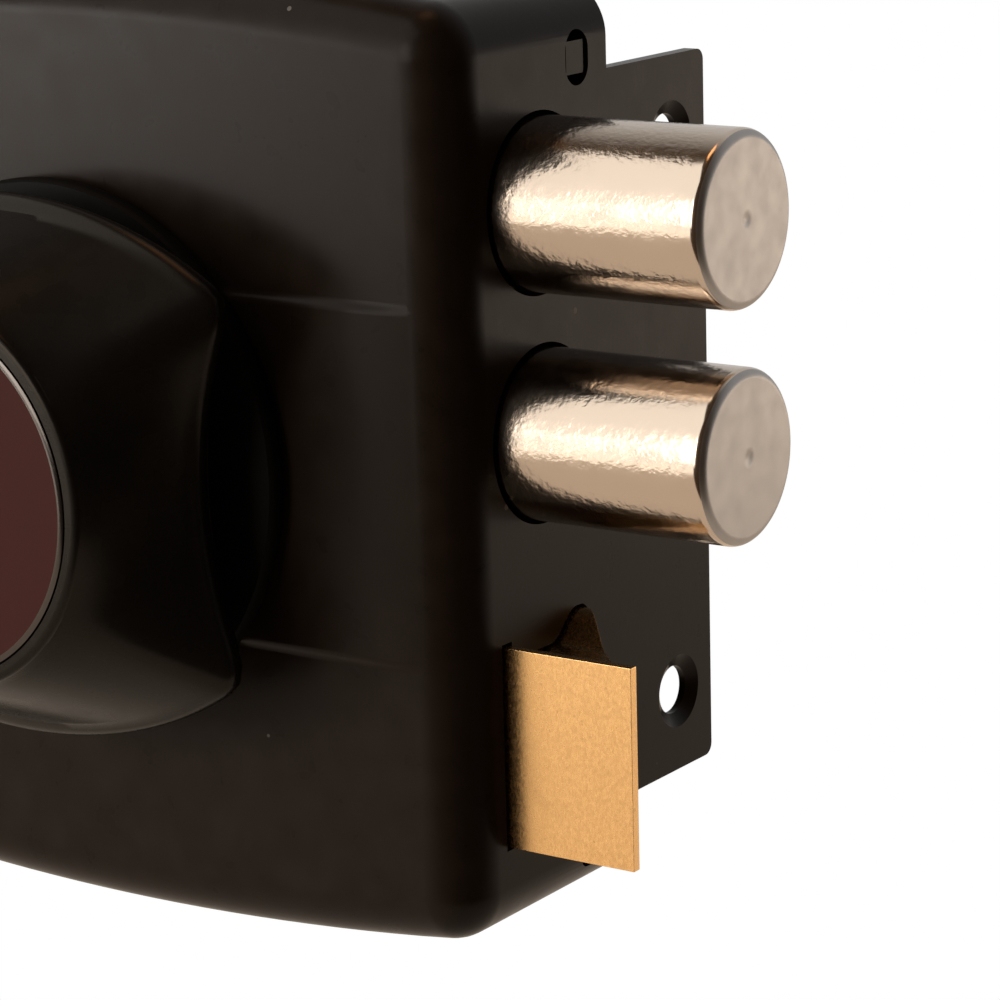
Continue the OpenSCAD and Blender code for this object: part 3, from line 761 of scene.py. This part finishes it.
class LOCK_OT_latch(bpy.types.Operator):
    """Shape the bevelled latch"""

    bl_idname = "lock.latch"
    bl_label = "Latch"

    def execute(self, context):
        sizes = context.scene.lock_sizes
        low, high = LATCH_LOW, LATCH_HIGH
        top = high.z - LATCH_STEP
        body = prism("latch_body", at_x(latch_outline(sizes, 0), low.x), (high.x - low.x, 0, 0))
        edit(body)
        slice_at((COVER_HIGH.x, high.y, 0), (1.1, 1, 0), use_fill=True, clear_outer=True)
        leave()
        carve(body, [block("slab", low, (high.x, low.y + sizes.slab, top))], "UNION")
        carve(body, [bar_x("tail_hole", low.x - MM, low.x + LATCH_HOLE_DEPTH, LATCH_ROD_Y,
                           (low.z + top) / 2, ROD_HOLE_RADIUS, 32)])
        soften(body, 0.16 * MM, 30)
        finish_piece(body, "brass", "latch", "latch_bolt")
        return {"FINISHED"}


class LOCK_OT_latch_spring(bpy.types.Operator):
    """Wind the spring behind the latch at its full length; the real spring closes up as the latch goes in
    """

    bl_idname = "lock.latch_spring"
    bl_label = "Latch spring"

    def execute(self, context):
        low, high = SPRING_LOW, SPRING_HIGH
        turns, wire = 6, 0.6 * MM
        coil = (high.z - low.z) / 2 - wire
        steps = 24 * turns
        clear_selection()
        bpy.ops.mesh.primitive_circle_add(vertices=12, radius=wire, location=(0, coil, 0))
        spring = named("latch_coil")
        apply(spring, "SCREW", axis="X", angle=math.tau * turns, screw_offset=high.x - low.x - 2 * wire,
              steps=steps, render_steps=steps)
        edit(spring)
        bpy.ops.mesh.fill_holes(sides=0)
        face_outwards()
        leave()
        spring.location = (low.x + wire, (low.y + high.y) / 2, (low.z + high.z) / 2)
        settle()
        smooth(spring, 40)
        finish_piece(spring, "spring_steel", "case", "latch_spring")
        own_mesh(spring)
        return {"FINISHED"}


def lobe(sizes, angle):
    """Radius of the grip's widest edge at an angle: an oval with a scoop out of each side."""
    half, stretch = sizes.grip / 2, 1.40
    side, up = abs(math.cos(angle)), math.sin(angle)
    oval = 1 / math.hypot(side / (stretch * half), up / half)
    scoop, soft = 45 * MM, 2.6 * MM
    away = sizes.knob_waist / 2 + scoop
    room = scoop ** 2 - (away * up) ** 2
    if room <= 0 or side < 0.3:
        return oval
    cut = away * side - math.sqrt(room)
    return min(oval, cut) - soft * math.log(1 + math.exp(-abs(oval - cut) / soft))


def knob_rings(sizes):
    """Rings of the knob from back to front: place, round radius, share of the lobed edge and inset."""
    back, front = KNOB_HIGH.y, KNOB_LOW.y
    wide, face, neck = KNOB_HIGH.z, sizes.knob_face / 2, 23 * MM
    foot = back - sizes.foot
    edge = foot - sizes.grip_rise
    neck_end = foot - 2.6 * MM
    lip, lip_end, taper = 0.7 * MM, 0.9 * MM, 0.4 * MM
    edge_round, face_round = 2.2 * MM, 0.8 * MM
    rings = []
    # The foot, with a round lip behind and a slight taper. Rings have to lie 0.1 mm apart to be cut.
    for degrees in (0, 60, 90):
        turn = math.radians(degrees)
        rings.append((back - lip * (1 - math.cos(turn)), wide - lip * (1 - math.sin(turn)), 0, 0))
    for step in range(6):
        share = step / 5
        rings.append((back - lip_end - (sizes.foot - lip_end) * share, wide - taper * share ** 3, 0, 0))
    rings.append((foot - 0.25 * MM, neck + 0.2 * MM, 0, 0))
    # The neck, which flares into the lobed edge.
    flare = neck_end - edge - edge_round
    for step in range(9):
        turn = math.radians(10 * step)
        rings.append((neck_end - flare * math.sin(turn), neck, 1 - math.cos(turn), 0))
    for step in range(10):
        turn = math.radians(65 - 13 * step)
        rings.append((edge + edge_round * math.sin(turn), neck, 1, edge_round * (1 - math.cos(turn))))
    # The slope from the edge to the round face.
    start, inset = rings[-1][0], rings[-1][3]
    tall = start - front - face_round
    for step in range(1, 17):
        share = 1 - step / 16
        rings.append((start - tall * step / 16, face, share, inset * share))
    for degrees in (18, 36, 54, 90):
        turn = math.radians(degrees)
        rings.append((front + face_round * (1 - math.sin(turn)), face - MM * (1 - math.cos(turn)), 0, 0))
    return rings


class LOCK_OT_knob(bpy.types.Operator):
    """Shape the scooped knob and its cap"""

    bl_idname = "lock.knob"
    bl_label = "Knob"

    def execute(self, context):
        self.shape_grip(context.scene.lock_sizes)
        self.shape_cap()
        return {"FINISHED"}

    def shape_grip(self, sizes):
        """The knob, from a bar that is cut into rings, each drawn out to its outline."""
        back, front = KNOB_HIGH.y, KNOB_LOW.y
        rings = knob_rings(sizes)
        sides, start = 144, 10 * MM
        ring_near, point_near = 2e-6, 2e-5
        knob = bar_y("knob_grip", back, front, start, sides)
        edit(knob)
        for ring in rings[1:-1]:
            slice_at((0, ring[0], 0), (0, 1, 0))
        for y, radius, share, inset in rings:
            # A round ring is drawn out at once, a lobed one in sets of four points that mirror each other.
            for step in range(sides // 4 + 1 if share else 1):
                angle = 2 * math.pi * step / sides
                x, z = start * math.cos(angle), start * math.sin(angle)
                reach = radius + (lobe(sizes, angle) - radius) * share
                # The edge is rounded more at the lobes than in the scoops.
                reach -= inset * (1 + 1.2 * math.sin(angle) ** 4)
                pick("VERT", lambda v: abs(v.co.y - y) < ring_near and (not share or (
                    abs(abs(v.co.x) - x) < point_near and abs(abs(v.co.z) - z) < point_near)))
                bpy.ops.transform.resize(value=(reach / start, 1, reach / start), center_override=(0, y, 0))
        leave()
        carve(knob, [
            bar_y("bush_room", back + MM, back - 1.4 * MM, 11.5 * MM, 64),
            bar_y("spindle_bore", back + MM, back - 17 * MM, 5.02 * MM, 64),
            bar_y("screw_bore", back - 16 * MM, front - MM, 2.2 * MM, 32),
            bar_y("head_room", back - 20 * MM, front - MM, 6 * MM, 48),
            bar_y("cap_seat", front + 1.2 * MM, front - MM, CAP_HIGH.x + 0.1 * MM, 128)])
        smooth(knob, 34, 60)
        # The faces of the foot take the darkened copy of the moulding: painted shade under the grip.
        finish_piece(knob, "knob", "knob_shaft", "knob", "knob_foot_painted_shade",
                     lambda face: face.center.y > back - sizes.foot - 0.3 * MM)

    def shape_cap(self):
        """The cap, a low disc with a dark metal rim."""
        front, radius = CAP_LOW.y, CAP_HIGH.x
        cap = bar_y("cap", CAP_HIGH.y, front, radius, 128)
        edit(cap)
        round_edges(lambda e: all(v.co.y < front + NEAR for v in e.verts), 0.45 * MM, 2)
        pick("FACE", lambda f: f.normal.y < -0.99)
        bpy.ops.mesh.inset(thickness=0.3 * MM)
        leave()
        smooth(cap, 30)
        finish_piece(cap, "cap", "knob_shaft", "knob_cap", "rim",
                     lambda face: face.center.y < front + 0.5 * MM
                     and math.hypot(face.center.x, face.center.z) > radius * 0.5)


class LOCK_OT_inner_works(bpy.types.Operator):
    """Give the works inside the case their finishes"""

    bl_idname = "lock.inner_works"
    bl_label = "Inner works"

    def execute(self, context):
        finish_of = {
            "zinc_sheet": ["bolt_guide", "latch_bracket", "latch_cam", "bolt_carriage", "latch_lever"],
            "turned_steel": ["cover_screws", "rack_posts", "lever_post", "knob_screw", "spindle",
                             "drive_pinion", "bolt_screws", "latch_tail", "latch_pin"],
            "spring_steel": ["bush_clip", "spindle_clip", "latch_clip"],
            "bush_brass": ["cover_bush"],
            # The steel back plate takes the dark case lacquer: painted shade, so that its hook stays dark
            # in the hook slot.
            "lacquer": ["back_plate"]}
        for finish, nodes in finish_of.items():
            for node in nodes:
                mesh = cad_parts[node].data
                mesh.materials.clear()
                mesh.materials.append(FINISH[finish])
        return {"FINISHED"}


class LOCK_OT_stage(bpy.types.Operator):
    """Set the floor, the lights and the camera"""

    bl_idname = "lock.stage"
    bl_label = "Stage"

    def execute(self, context):
        scene = context.scene
        scene.view_settings.view_transform = "Standard"
        self.floor()
        self.world(scene)
        self.lamp("key", (-0.486, -0.530, 0.562), (1.2, 0.92), 5.6, (1.0, 0.97, 0.92))
        self.lamp("warm", (-0.04, 0.02, 0.90), (0.30, 0.30), 0.75, (1.0, 0.48, 0.20))
        self.lamp("reflector", (-0.740, -0.510, 0.040), (0.64, 0.26), 6.0, (1.0, 0.96, 0.91))
        self.lamp("fill", (-0.409, -0.800, -0.024), (0.275, 0.465), 0.58, (1.0, 0.96, 0.90))
        self.lamp("front", (-0.211, -0.847, 0.218), (0.32, 0.465), 2.2, (1.0, 0.92, 0.84))
        self.lamp("back", (0.55, 0.74, -0.10), (0.70, 0.30), 1.05, (1.0, 0.82, 0.66), (0.05, 0, 0))
        self.camera(scene)
        return {"FINISHED"}

    def floor(self):
        """A pale table top with one long edge towards the camera, white where it runs out of the light."""
        towards = Vector((0.8, -0.6, 0))
        deep, wide, near, height = 3.0, 6.0, 0.30, -0.20
        middle = towards * (near - deep / 2)
        clear_selection()
        bpy.ops.mesh.primitive_plane_add(size=1)
        table = named("table_top")
        table.scale = (deep, wide, 1)
        table.rotation_euler = (0, 0, math.atan2(towards.y, towards.x))
        table.location = (middle.x, middle.y, height)
        settle()
        material = bpy.data.materials.new("table_paper")
        material.use_nodes = True
        tree = material.node_tree
        tree.nodes.clear()
        output = tree.nodes.new("ShaderNodeOutputMaterial")
        path = add(tree, "ShaderNodeLightPath").outputs
        paper = add(tree, "ShaderNodeBsdfDiffuse", Color=(0.90, 0.84, 0.77, 1))
        glow = add(tree, "ShaderNodeEmission")
        tint = blend_colours(tree, path["Is Camera Ray"], (0.86, 0.71, 0.57), (1, 1, 1))
        tree.links.new(tint, glow.inputs["Color"])
        coords = add(tree, "ShaderNodeTexCoord")
        reach = add(tree, "ShaderNodeVectorMath", operation="LENGTH")
        tree.links.new(coords.outputs["Object"], reach.inputs[0])
        far = ramp_range(tree, reach.outputs["Value"], 0.5, 1.0, 0.12, 0.26)
        # Seen by the camera and in metal and glass, but not by scattered light.
        seen = maths(tree, "MAXIMUM", path["Is Camera Ray"], path["Is Glossy Ray"])
        seen = maths(tree, "MAXIMUM", seen, path["Is Transmission Ray"])
        mix_shaders(tree, maths(tree, "MULTIPLY", seen, far), paper, glow, output)
        table.data.materials.append(material)

    def world(self, scene):
        """White to the camera, a bright wall behind the lock and a dim room on the camera's side."""
        world = bpy.data.worlds.new("studio")
        scene.world = world
        world.use_nodes = True
        tree = world.node_tree
        tree.nodes.clear()
        output = tree.nodes.new("ShaderNodeOutputWorld")
        path = add(tree, "ShaderNodeLightPath").outputs
        coords = add(tree, "ShaderNodeTexCoord")
        facing = add(tree, "ShaderNodeVectorMath", operation="DOT_PRODUCT")
        tree.links.new(coords.outputs["Generated"], facing.inputs[0])
        facing.inputs[1].default_value = (0.05, 0.96, 0.25)
        wall = ramp_range(tree, facing.outputs["Value"], 0.0, 0.68, 0.25, 0.75)
        clear = maths(tree, "MAXIMUM", path["Is Camera Ray"], path["Is Transmission Ray"])
        mirrored = maths(tree, "MULTIPLY", path["Is Glossy Ray"], wall)
        white = add(tree, "ShaderNodeBackground", Color=(1, 1, 1, 1))
        dim = add(tree, "ShaderNodeBackground", Color=(0.065, 0.042, 0.026, 1))
        mix_shaders(tree, maths(tree, "MAXIMUM", clear, mirrored), dim, white, output)

    def lamp(self, name, place, size, power, tint, aim=(0, 0, 0)):
        """A flat soft light of a width and a height, turned to a point."""
        clear_selection()
        turn = (Vector(place) - Vector(aim)).to_track_quat("Z", "Y").to_euler()
        bpy.ops.object.light_add(type="AREA", location=place, rotation=turn)
        light = bpy.context.object
        light.name = name
        light.data.shape = "RECTANGLE"
        light.data.size, light.data.size_y = size
        light.data.energy = power
        light.data.color = tint

    def camera(self, scene):
        """The camera of the photo's view, by its place and its three axes."""
        clear_selection()
        bpy.ops.object.camera_add()
        camera = bpy.context.object
        camera.name = "photo_view"
        camera.data.sensor_width = 36
        camera.data.lens = 130.1
        camera.data.clip_start = 0.01
        place = Vector((0.28040, -0.34908, 0.09434))
        right = Vector((0.82642, 0.56245, -0.02599))
        up = Vector((-0.11223, 0.20978, 0.97129))
        back = Vector((0.55175, -0.79978, 0.23649))
        turn = Matrix((right, up, back)).transposed().to_4x4()
        camera.matrix_world = Matrix.Translation(place) @ turn
        scene.camera = camera


class LOCK_PT_panel(bpy.types.Panel):
    """Lists the sizes, the finishes and the steps"""

    bl_idname = "LOCK_PT_panel"
    bl_label = "Rim Box Lock"
    bl_space_type = "VIEW_3D"
    bl_region_type = "UI"
    bl_category = "Lock"

    def draw(self, context):
        layout = self.layout
        for group in (context.scene.lock_sizes, context.scene.lock_finishes):
            column = layout.column()
            for name in group.__annotations__:
                column.prop(group, name)
        for step in STEPS:
            layout.operator(step.bl_idname)


STEPS = (LOCK_OT_finishes, LOCK_OT_case_cover, LOCK_OT_edge_flange, LOCK_OT_dead_bolts, LOCK_OT_latch,
         LOCK_OT_latch_spring, LOCK_OT_knob, LOCK_OT_inner_works, LOCK_OT_stage)
CLASSES = (LockSizes, LockFinishes) + STEPS + (LOCK_PT_panel,)


def register():
    """Register the classes and hang the properties on the scene."""
    for cls in CLASSES:
        bpy.utils.register_class(cls)
    bpy.types.Scene.lock_sizes = bpy.props.PointerProperty(type=LockSizes)
    bpy.types.Scene.lock_finishes = bpy.props.PointerProperty(type=LockFinishes)


def unregister():
    """Take the properties and the classes away again."""
    del bpy.types.Scene.lock_finishes
    del bpy.types.Scene.lock_sizes
    for cls in reversed(CLASSES):
        bpy.utils.unregister_class(cls)


def main():
    """Build every piece and the stage."""
    register()
    bpy.ops.lock.finishes()
    bpy.ops.lock.case_cover()
    bpy.ops.lock.edge_flange()
    bpy.ops.lock.dead_bolts()
    bpy.ops.lock.latch()
    bpy.ops.lock.latch_spring()
    bpy.ops.lock.knob()
    bpy.ops.lock.inner_works()
    bpy.ops.lock.stage()


if __name__ == "__main__":
    main()
